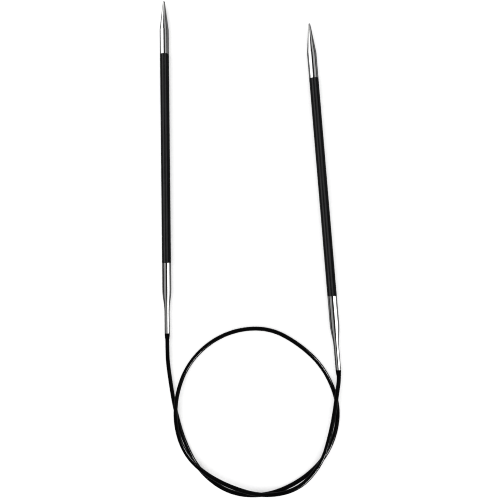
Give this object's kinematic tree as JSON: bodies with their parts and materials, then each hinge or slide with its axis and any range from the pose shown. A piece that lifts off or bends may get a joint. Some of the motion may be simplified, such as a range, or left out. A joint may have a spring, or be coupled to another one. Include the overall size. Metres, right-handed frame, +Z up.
{
  "type": "circular knitting needle",
  "caption": "Circular knitting needle: straight carbon-fibre needles with metal tips and tapered ferrules, joined end to end by a thin flexible nylon cord lying in a loop.",
  "frame": {"origin": "on the table, at the middle of the box round the two needles, without the free cord", "axes": "+Y along the needles towards their tips, +Z up from the table"},
  "size_m": [0.0705, 0.1923, 0.0035],
  "materials": {
    "plated_metal": "nickel-plated brass, polished",
    "carbon_fibre": "satin black carbon fibre with fine lengthwise grain",
    "epoxy": "cured clear epoxy film",
    "cord_nylon": "glossy black nylon",
    "collar_nylon": "black nylon, slightly duller than the cord"
  },
  "bodies": {
    "cord": {"cord": "cord_nylon"},
    "left_needle": {"left_tip": "plated_metal", "left_tip_glue": "epoxy", "left_shaft": "carbon_fibre", "left_ferrule_glue": "epoxy", "left_ferrule": "plated_metal", "left_cord_glue": "epoxy", "left_cord_end": "cord_nylon", "left_cord_collar": "collar_nylon"},
    "right_needle": {"right_tip": "plated_metal", "right_tip_glue": "epoxy", "right_shaft": "carbon_fibre", "right_ferrule_glue": "epoxy", "right_ferrule": "plated_metal", "right_cord_glue": "epoxy", "right_cord_end": "cord_nylon", "right_cord_collar": "collar_nylon"}
  },
  "joints": [
    {"name": "left_needle_swing", "type": "hinge", "parent": "cord", "child": "left_needle", "pos_m": [-0.03203, -0.0641, 0.00175], "axis": [0, 0, 1], "range_deg": [-10, 60], "stiffness_Nm_per_rad": 0.02},
    {"name": "right_needle_swing", "type": "hinge", "parent": "cord", "child": "right_needle", "pos_m": [0.03463, -0.07608, 0.00175], "axis": [0, 0, 1], "range_deg": [-60, 10], "stiffness_Nm_per_rad": 0.02}
  ]
}
